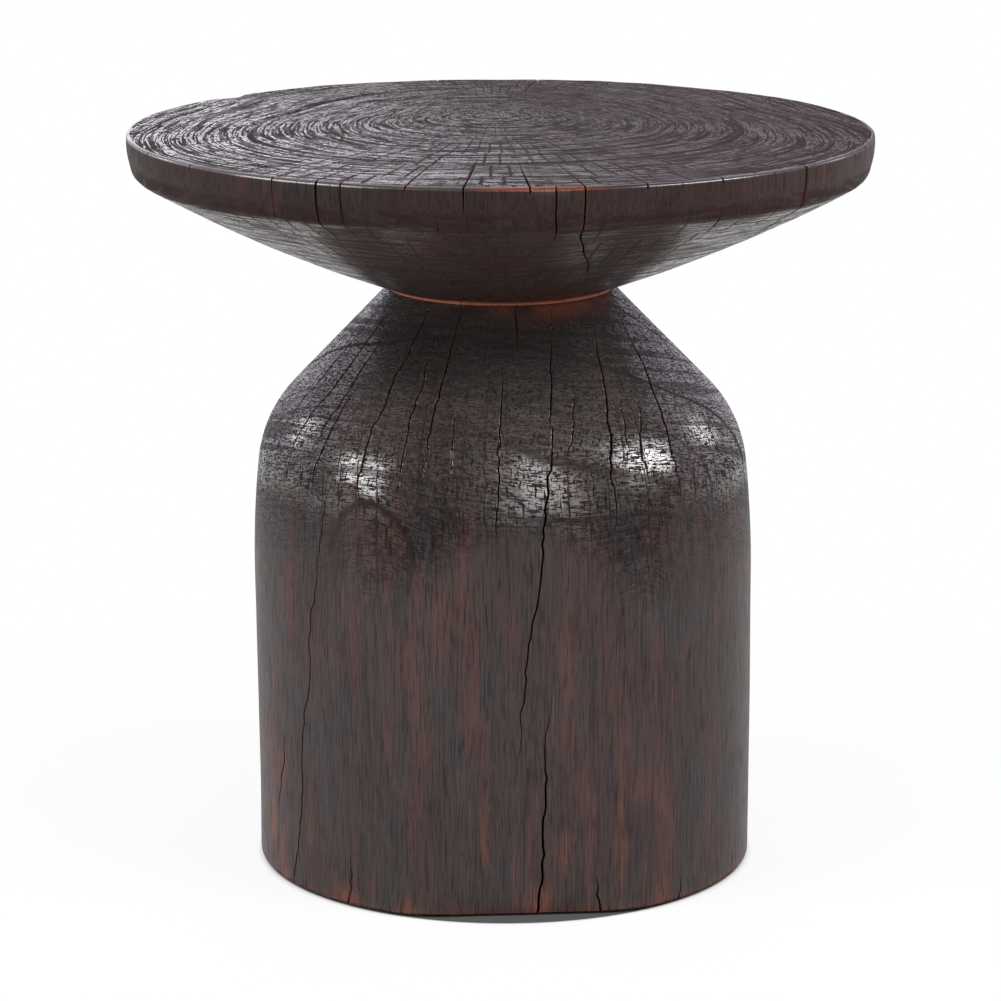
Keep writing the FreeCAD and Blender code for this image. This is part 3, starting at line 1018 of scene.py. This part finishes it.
# Levels between which the marks of the wood come in, then their least and greatest strength if not 0 and 1
RING_LINE = (0.45, 0.95)
RING_STRENGTH = (0.3, 1.0, 0.15, 0.9)
RAY_LEVELS = (0.6, 0.66)
HAIR_CHANCE = (0.1, 0.6, 0.0, 0.95)
ASH_LEVELS = (0.05, 0.5)
LINES_ON_END = (0.0, 0.14, 0.06, 0.95)
LINE_DARKNESS = 0.8
PITS_ON_END = (0.01, 0.16)
FINE_PITS = (0.48, 0.36, 0.0, 0.42)
OPEN_PITS = (0.44, 0.34, 0.0, 0.8)
RUB_LEVELS = (0.3, 0.55)
MOUTH_LEVELS = (0.02, 0.2, 0.0, 0.1)
CHECK_SHADE_LEVELS = (0.06, 0.3)
FILM_LEVELS = (0.15, 0.6, 1.0, 0.0)
SUNK_LEVELS = (0.0, 0.8)
SUNK_ROUGHER = 0.25
SUNK_DEPTH = 0.4


def blackened_wood(name, finish, bands, ray_depth, hair_count, hair_width, dull, carved):
    """Scorched, brushed and waxed hardwood.

    The eye gets near-black brown with red and slate-grey streaks along the grain and fine pores in it. On
    the end grain it gets soot and ash, dark rings, rays and hair checks, with pits that break up the shine
    of the wax. The wood is red-brown in the mouths of the checks and where edges are rubbed.
    """
    material, node = new_material(name)
    rings, end_grain, check, rub, weather, scorch, wax = (
        node("Attribute", out="Fac", attribute_name=key)
        for key in ("rings", "end_grain", "check", "rub", "weather", "scorch", "wax"))
    grain = node("Attribute", out="Vector", attribute_name="grain")
    place = node("TexCoord", out="Object")

    # The grain wanders by a millimetre or two
    across, along = WANDER_SIZE
    lay = node("Mapping", place, named=per_metre(across, across, along))
    drift = node("TexNoise", lay, 1.0, 1.0, out="Color")
    wandered = node("VectorMath", drift, (GRAIN_WANDER * MM,) * 3, place, operation="MULTIPLY_ADD")
    pattern = {}
    for key, (across, along, detail) in WOOD_PATTERNS.items():
        lay = node("Mapping", wandered, named=per_metre(across, across, along))
        pattern[key] = node("TexNoise", lay, 1.0, detail, PATTERN_ROUGHNESS)

    # Rings: a dark line a ring, each of its own strength
    shaken = node("Math", pattern["jitter"], RING_JITTER, rings, operation="MULTIPLY_ADD")
    ring_number = node("Math", shaken, operation="FLOOR")
    strength = node("TexWhiteNoise", ring_number, out="Value", noise_dimensions="1D")
    strength = node("MapRange", strength, *RING_STRENGTH)
    ring_turn = node("Math", shaken, 2 * math.pi, operation="MULTIPLY")
    ring_sine = node("Math", ring_turn, operation="SINE")
    ring_line = node("MapRange", ring_sine, *RING_LINE)
    lines = node("Math", ring_line, strength, operation="MULTIPLY")

    # Between them fine bands lie round the pith, long ones and short ones, and rays cross them
    for long, wide, depth, cover in bands:
        lay = node("Mapping", grain, named=per_metre(long, long, wide))
        band = node("TexNoise", lay, 1.0, 1.0)
        band = node("MapRange", band, cover + BAND_EDGE, cover - BAND_EDGE, 0.0, depth)
        lines = node("Math", lines, band, operation="MAXIMUM")
    wide, long = RAY_SIZE
    lay = node("Mapping", grain, named=per_metre(wide, wide, long))
    rays = node("TexNoise", lay, 1.0, 1.0)
    rays = node("MapRange", rays, *RAY_LEVELS, 0.0, ray_depth)

    # Hair checks run out from the pith like spokes, and stop and start again like the joints of bricks
    course = node("Math", shaken, 1 / RINGS_PER_COURSE, operation="MULTIPLY")
    course = node("Math", course, operation="FLOOR")
    slip = node("TexWhiteNoise", course, out="Value", noise_dimensions="1D")
    aside, ahead = (node("SeparateXYZ", grain, out=axis) for axis in ("X", "Y"))
    angle = node("Math", ahead, aside, operation="ARCTAN2")
    spoke = node("Math", angle, hair_count / (2 * math.pi), slip, operation="MULTIPLY_ADD")
    spoke = node("Math", pattern["jitter"], HAIR_JITTER, spoke, operation="MULTIPLY_ADD")
    beside = node("Math", spoke, 0.5, operation="PINGPONG")
    hair = node("MapRange", beside, 0.0, hair_width, 1.0, 0.0)
    spoke_number = node("Math", spoke, operation="ROUND")
    joint = node("CombineXYZ", spoke_number, course)
    chance = node("TexWhiteNoise", joint, out="Value", noise_dimensions="2D")
    chance = node("MapRange", chance, *HAIR_CHANCE)
    hair = node("Math", hair, chance, operation="MULTIPLY")

    # All these lines show on the end grain, and hardly on the long grain
    for more in (rays, hair):
        lines = node("Math", lines, more, operation="MAXIMUM")
    share = node("MapRange", end_grain, *LINES_ON_END)
    lines = node("Math", lines, share, operation="MULTIPLY")
    dark_lines = node("Math", lines, LINE_DARKNESS, operation="MULTIPLY")

    # Pits are fine everywhere and open on the end grain
    fine_pits = node("MapRange", pattern["pores"], *FINE_PITS)
    open_pits = node("MapRange", pattern["pits"], *OPEN_PITS)
    share = node("MapRange", end_grain, *PITS_ON_END)
    open_pits = node("Math", open_pits, share, operation="MULTIPLY")
    pits = node("Math", fine_pits, open_pits, operation="MAXIMUM")

    # Where it was scorched it is soot, or ash as it has weathered. The ash is partly painted sheen on the
    # left of the top's face, and its loss toward the base's neck is painted shade
    share = node("Math", weather, pattern["patches"], operation="MULTIPLY")
    share = node("MapRange", share, *ASH_LEVELS)
    burnt = node("Mix", share, finish.soot, finish.ash, data_type="RGBA")

    # Rubbed edges, the mouths of the checks, and painted shade that darkens the checks as they deepen
    bare = node("MapRange", pattern["pores"], *RUB_LEVELS)
    bare = node("Math", bare, rub, operation="MULTIPLY")
    mouth = node("MapRange", check, *MOUTH_LEVELS)
    check_shade = node("MapRange", check, *CHECK_SHADE_LEVELS)

    # The colours, one over another
    wood = finish.brown
    for key, low, high, most, paint in LONG_GRAIN:
        share = node("MapRange", pattern[key], low, high, 0.0, most)
        wood = node("Mix", share, wood, getattr(finish, paint), data_type="RGBA")
    for share, paint in (
            (scorch, burnt), (dark_lines, finish.pore_and_check_shade), (pits, finish.pore_and_check_shade),
            (bare, finish.rubbed), (mouth, finish.rubbed), (check_shade, finish.pore_and_check_shade)):
        wood = node("Mix", share, wood, paint, data_type="RGBA")

    # What is sunk is rougher, and has lost the film of wax that shines where end grain is handled
    sunk = node("Math", pits, lines, operation="MAXIMUM")
    bump = node("Bump", named={"Height": sunk, "Strength": carved, "Distance": SUNK_DEPTH * MM}, invert=True)
    rough = node("MapRange", sunk, *SUNK_LEVELS, dull, dull + SUNK_ROUGHER)
    film = node("MapRange", sunk, *FILM_LEVELS)
    film = node("Math", film, wax, operation="MULTIPLY")
    shader = node("BsdfPrincipled", named={
        "Base Color": wood, "Roughness": rough, "Normal": bump, "IOR": 1.5, "Specular IOR Level": 0.06,
        "Coat Weight": film, "Coat Roughness": finish.wax, "Coat IOR": 1.8,
    })
    node("OutputMaterial", shader)
    return material


# Plain materials: how long and how deep the tool's marks on metal are and how they spread its roughness,
# the bands and flecks of beech, and the fibres of felt. Sizes are in millimetres, with width before length
MARK_LENGTH = 12.0
MARK_DEPTH = 0.1
MARK_ROUGHNESS = (-0.08, 0.12)
BEECH_BAND = (3.0, 60.0)
BEECH_FLECK = (0.7, 3.0)
FLECK_LEVELS = (0.6, 0.72, 0.0, 0.6)
FLECK_DEPTH = 0.2
FELT_FIBRE = 0.6
FELT_DEPTH = 0.3


def plain_metal(name, dark, light, rough, scratch_mm):
    """Plated or turned metal: bright, with fine marks left by the tool that show as a grained sheen.

    The marks are drawn coarser than real ones, which the render couldn't show.
    """
    material, node = new_material(name)
    place = node("TexCoord", out="Object")
    lay = node("Mapping", place, named=per_metre(MARK_LENGTH, MARK_LENGTH, scratch_mm))
    marks = node("TexNoise", lay, 1.0, 3.0)
    tint = node("Mix", marks, dark, light, data_type="RGBA")
    least, most = (rough + swing for swing in MARK_ROUGHNESS)
    polish = node("MapRange", marks, 0.0, 1.0, least, most)
    bump = node("Bump", named={"Height": marks, "Strength": 0.2, "Distance": MARK_DEPTH * MM})
    shader = node("BsdfPrincipled", named={
        "Base Color": tint, "Metallic": 1.0, "Roughness": polish, "Normal": bump,
    })
    node("OutputMaterial", shader)
    return material


def turned_beech(finish):
    """Bare beech off the lathe: pale pinkish brown, with short dark flecks along the grain."""
    material, node = new_material("turned_beech")
    place = node("TexCoord", out="Object")
    across, along = BEECH_BAND
    lay = node("Mapping", place, named=per_metre(across, across, along))
    bands = node("TexNoise", lay, 1.0, 3.0)
    across, along = BEECH_FLECK
    lay = node("Mapping", place, named=per_metre(across, across, along))
    flecks = node("TexNoise", lay, 1.0, 1.0)
    wood = node("Mix", bands, finish.beech, finish.pale_beech, data_type="RGBA")
    share = node("MapRange", flecks, *FLECK_LEVELS)
    wood = node("Mix", share, wood, finish.beech_fleck, data_type="RGBA")
    bump = node("Bump", named={"Height": flecks, "Strength": 0.2, "Distance": FLECK_DEPTH * MM})
    shader = node("BsdfPrincipled", named={
        "Base Color": wood, "Roughness": 0.6, "IOR": 1.5, "Normal": bump,
    })
    node("OutputMaterial", shader)
    return material


def pressed_felt(finish):
    """Pressed wool felt: charcoal grey, matted fibres that lie every way, with a soft nap.

    The fibres are drawn coarser than real ones, which the render couldn't show.
    """
    material, node = new_material("pressed_felt")
    place = node("TexCoord", out="Object")
    lay = node("Mapping", place, named=per_metre(FELT_FIBRE, FELT_FIBRE, FELT_FIBRE))
    fibres = node("TexNoise", lay, 1.0, 4.0, named={"Distortion": 1.5})
    wool = node("Mix", fibres, finish.felt, finish.pale_felt, data_type="RGBA")
    bump = node("Bump", named={"Height": fibres, "Strength": 0.6, "Distance": FELT_DEPTH * MM})
    shader = node("BsdfPrincipled", named={
        "Base Color": wool, "Roughness": 0.95, "Normal": bump, "Sheen Weight": 0.3,
    })
    node("OutputMaterial", shader)
    return material


def dress(piece, material):
    """Gives a piece one material, in place of any that it has."""
    piece.data.materials.clear()
    piece.data.materials.append(material)


# The stage. Each softbox has a place, a width and a height in metres, and its watts
LAMPS = (
    ("left_softbox", (-1.77, -1.02, 0.96), (1.6, 0.75), 46.0),
    ("front_softbox", (0.51, -2.05, 0.71), (0.35, 0.9), 7.0),
    ("right_softbox", (1.67, -0.97, 1.24), (1.4, 0.6), 41.0),
    ("back_left_softbox", (-1.9, 1.1, 1.0), (0.4, 0.6), 5.0),
    ("back_right_softbox", (1.9, 1.1, 1.0), (0.4, 0.6), 6.0),
    ("back_softbox", (-0.3, 3.0, 0.95), (2.0, 0.6), 8.0),
    ("overhead_softbox", (0.0, 1.1, 2.6), (1.6, 1.6), 10.0),
)
LAMP_AIM = (0.0, 0.0, 0.3)
CAMERA_PLACE = (0.0, -2.8, 0.9115)
CAMERA_DIP = 13.36
CAMERA_LENS = 151.5
CAMERA_SENSOR = 36.0
FLOOR_REACH = 12.0

# How far from the middle of the foot the floor is painted dark, a painted shade under the foot, how far it
# is shaded, both in metres, and its levels
FOOT_SHADE_EDGE = (0.166, 0.172)
SHADE_REACH = (0.17, 0.7)
SHADE_LEVELS = (0.87, 1.0)
FOOT_SHADE_LEVELS = (0.0, 0.4, 0.1, 0.9)

# Light of the surroundings: an even level, and what is mirrored from the front to the back
SOFT_LEVEL = 0.25
MIRRORED_LEVELS = (-0.1, 0.4, 0.05, 1.2)
MIRRORED_TINT = "#f3eaff"


def make_floor(foot_shift):
    """A white floor, seen from above only, that keeps the table's shadow and has a painted shade under its
    foot.
    """
    corners = np.array([(-1, -1, 0), (1, -1, 0), (1, 1, 0), (-1, 1, 0)]) * FLOOR_REACH
    mesh = bpy.data.meshes.new("floor")
    mesh.from_pydata(corners.tolist(), [], [(0, 1, 2, 3)])
    floor = bpy.data.objects.new("floor", mesh)
    bpy.context.scene.collection.objects.link(floor)
    material, node = new_material("white_floor")
    camera_ray, glossy_ray = (node("LightPath", out=key) for key in ("Is Camera Ray", "Is Glossy Ray"))
    ray = node("Math", glossy_ray, camera_ray, operation="MAXIMUM")
    place = node("TexCoord", out="Object")
    reach = node("VectorMath", place, (foot_shift, 0.0, 0.0), out="Value", operation="DISTANCE")
    clear_of_foot_shade = node("MapRange", reach, *FOOT_SHADE_EDGE)
    share = node("MapRange", reach, *SHADE_REACH, *SHADE_LEVELS)
    for part in (clear_of_foot_shade, ray):
        share = node("Math", part, share, operation="MULTIPLY")
    # Its paint darkens close to the foot: a painted shade under the table
    foot_shade_tone = node("MapRange", clear_of_foot_shade, *FOOT_SHADE_LEVELS)
    paint = node("BsdfDiffuse", foot_shade_tone)
    glow = node("Emission", named={"Strength": 1.0})
    lit = node("MixShader", share, paint, glow)
    below = node("NewGeometry", out="Backfacing")
    clear = node("BsdfTransparent")
    both = node("MixShader", below, lit, clear)
    node("OutputMaterial", both)
    dress(floor, material)


def make_world(scene):
    """White surroundings for what looks at them, dimmer in front, and an even light for the rest."""
    world = bpy.data.worlds.new("white_studio")
    world.use_nodes = True
    world.node_tree.nodes.clear()
    node = functools.partial(add, world.node_tree)
    camera_ray, glossy_ray, through_ray = (
        node("LightPath", out=key) for key in ("Is Camera Ray", "Is Glossy Ray", "Is Transmission Ray"))
    mirrored = node("Math", glossy_ray, through_ray, operation="MAXIMUM")
    way = node("TexCoord", out="Generated")
    back = node("SeparateXYZ", way, out="Y")
    level = node("MapRange", back, *MIRRORED_LEVELS)
    soft = node("Background", named={"Strength": SOFT_LEVEL})
    shiny = node("Background", linear(MIRRORED_TINT), level)
    white = node("Background", named={"Strength": 1.0})
    light = node("MixShader", mirrored, soft, shiny)
    light = node("MixShader", camera_ray, light, white)
    node("OutputWorld", light)
    scene.world = world


def make_lamps(scene):
    """Softboxes round the table, each turned to the middle of it."""
    for name, place, size, watts in LAMPS:
        lamp = bpy.data.lights.new(name, "AREA")
        lamp.shape = "RECTANGLE"
        lamp.size, lamp.size_y = size
        lamp.energy = watts
        piece = bpy.data.objects.new(name, lamp)
        scene.collection.objects.link(piece)
        aside, ahead, up = np.array(place) - np.array(LAMP_AIM)
        piece.location = place
        tilt = math.atan2(math.hypot(aside, ahead), up)
        piece.rotation_euler = (tilt, 0.0, math.atan2(aside, -ahead))


def make_camera(scene):
    """A long lens from the front, looking a little down."""
    lens = bpy.data.cameras.new("camera")
    lens.sensor_width = CAMERA_SENSOR
    lens.lens = CAMERA_LENS
    eye = bpy.data.objects.new("camera", lens)
    scene.collection.objects.link(eye)
    eye.location = CAMERA_PLACE
    eye.rotation_euler = (math.radians(90.0 - CAMERA_DIP), 0.0, 0.0)
    scene.camera = eye


# Settings

def length(name, description, millimetres):
    """A length setting."""
    return bpy.props.FloatProperty(name=name, description=description, default=millimetres * MM,
                                   min=0.0, unit="LENGTH", subtype="DISTANCE", precision=4)


def colour(name, description, code):
    """A colour setting."""
    return bpy.props.FloatVectorProperty(name=name, description=description, default=linear(code),
                                         size=4, min=0.0, max=1.0, subtype="COLOR")


class SIDETABLE_PG_sizes(bpy.types.PropertyGroup):
    """Sizes of the wood's own marks"""
    ring_width: length("Ring width", "Spacing of the growth rings", 6.5)
    top_ring_width: length("Top ring width", "Spacing of the growth rings of the top", 7.0)
    ring_relief: length("Ring relief", "How far the softer part of a ring is brushed out", 0.4)
    check_depth: length("Check depth", "Depth of a check at its widest", 6.0)
    foot_shift: length("Foot shift", "How far the base leans to its right by the foot", 3.0)


class SIDETABLE_PG_finish(bpy.types.PropertyGroup):
    """Colours of the wood, the felt and the hidden hardware"""
    brown: colour("Brown", "Long grain of the blackened wood", "#342a29")
    red: colour("Red", "Strong streaks of the long grain", "#4b312d")
    slate: colour("Slate", "Grey blotches of the long grain", "#323336")
    soot: colour("Soot", "End grain where it is darkest", "#161314")
    ash: colour("Ash", "End grain where it has weathered", "#4a423f")
    # The pore colour is also the painted shade deep in the checks
    pore_and_check_shade: colour("Pore", "Pits, ring lines and the bottom of checks", "#100d0c")
    rubbed: colour("Rubbed", "Wood where edges are rubbed", "#83432a")
    wax: bpy.props.FloatProperty(name="Wax", description="Roughness of the film of wax", default=0.22,
                                 min=0.1, max=0.7, subtype="FACTOR")
    beech: colour("Beech", "Darker bands of the bare beech", "#c59a6d")
    pale_beech: colour("Pale beech", "Paler bands of the bare beech", "#dcb98e")
    beech_fleck: colour("Beech fleck", "Flecks of the bare beech", "#8a5f3d")
    steel: colour("Steel", "Darker marks of the plated steel", "#a9abad")
    pale_steel: colour("Pale steel", "Paler marks of the plated steel", "#c9cac8")
    brass: colour("Brass", "Darker marks of the turned brass", "#b48a4a")
    pale_brass: colour("Pale brass", "Paler marks of the turned brass", "#d3ad68")
    felt: colour("Felt", "Darker fibres of the felt", "#232122")
    pale_felt: colour("Pale felt", "Paler fibres of the felt", "#4a4747")


# Operators

class SIDETABLE_OT_top(bpy.types.Operator):
    """Builds the top of the table"""
    bl_idname = "side_table.top"
    bl_label = "Build Top"

    def execute(self, context):
        finish = context.scene.side_table_finish
        piece = make_top(context.scene.side_table_sizes)
        dress(piece, blackened_wood(
            "blackened_end_grain", finish, TOP_BANDS,
            ray_depth=0.5, hair_count=130, hair_width=0.17, dull=0.55, carved=0.6))
        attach(piece, "root")
        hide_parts("tabletop")
        return {"FINISHED"}


class SIDETABLE_OT_base(bpy.types.Operator):
    """Builds the base of the table"""
    bl_idname = "side_table.base"
    bl_label = "Build Base"

    def execute(self, context):
        finish = context.scene.side_table_finish
        piece = make_base(context.scene.side_table_sizes)
        dress(piece, blackened_wood(
            "blackened_log", finish, BASE_BANDS,
            ray_depth=0.2, hair_count=100, hair_width=0.07, dull=0.5, carved=0.3))
        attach(piece, "root")
        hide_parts("pedestal")
        return {"FINISHED"}


class SIDETABLE_OT_glides(bpy.types.Operator):
    """Builds the felt glides under the foot"""
    bl_idname = "side_table.glides"
    bl_label = "Build Glides"

    def execute(self, context):
        felt = pressed_felt(context.scene.side_table_finish)
        for node in sorted(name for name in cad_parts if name.startswith("felt_glide")):
            piece = make_glide(node)
            dress(piece, felt)
            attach(piece, "root")
            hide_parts(node)
        return {"FINISHED"}


class SIDETABLE_OT_hardware(bpy.types.Operator):
    """Finishes the hidden joinery and hardware"""
    bl_idname = "side_table.hardware"
    bl_label = "Finish Hardware"

    def execute(self, context):
        finish = context.scene.side_table_finish
        beech = turned_beech(finish)
        steel = plain_metal("zinc_plated_steel", finish.steel, finish.pale_steel, rough=0.32, scratch_mm=0.4)
        brass = plain_metal("turned_brass", finish.brass, finish.pale_brass, rough=0.28, scratch_mm=0.3)
        for name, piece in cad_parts.items():
            if name.startswith(("neck_tenon", "locating_dowel")):
                dress(piece, beech)
            elif name == "rod_insert":
                dress(piece, brass)
            elif name in ("tie_rod", "plate_washer", "spring_washer", "rod_nut"):
                dress(piece, steel)
        return {"FINISHED"}


class SIDETABLE_OT_stage(bpy.types.Operator):
    """Sets the floor, the lights and the camera"""
    bl_idname = "side_table.stage"
    bl_label = "Set Stage"

    def execute(self, context):
        make_floor(context.scene.side_table_sizes.foot_shift)
        make_world(context.scene)
        make_lamps(context.scene)
        make_camera(context.scene)
        context.scene.view_settings.view_transform = "Standard"
        return {"FINISHED"}


class SIDETABLE_PT_panel(bpy.types.Panel):
    """Lists the steps that build the table"""
    bl_idname = "SIDETABLE_PT_panel"
    bl_label = "Side Table"
    bl_space_type = "VIEW_3D"
    bl_region_type = "UI"
    bl_category = "Side Table"

    def draw(self, context):
        for step in STEPS:
            self.layout.operator(step.bl_idname)


STEPS = (SIDETABLE_OT_top, SIDETABLE_OT_base, SIDETABLE_OT_glides, SIDETABLE_OT_hardware, SIDETABLE_OT_stage)
CLASSES = (SIDETABLE_PG_sizes, SIDETABLE_PG_finish) + STEPS + (SIDETABLE_PT_panel,)


def register():
    for item in CLASSES:
        bpy.utils.register_class(item)
    bpy.types.Scene.side_table_sizes = bpy.props.PointerProperty(type=SIDETABLE_PG_sizes)
    bpy.types.Scene.side_table_finish = bpy.props.PointerProperty(type=SIDETABLE_PG_finish)


def unregister():
    del bpy.types.Scene.side_table_finish
    del bpy.types.Scene.side_table_sizes
    for item in reversed(CLASSES):
        bpy.utils.unregister_class(item)


def main():
    register()
    bpy.ops.side_table.top()
    bpy.ops.side_table.base()
    bpy.ops.side_table.glides()
    bpy.ops.side_table.hardware()
    bpy.ops.side_table.stage()


if __name__ == "__main__":
    main()
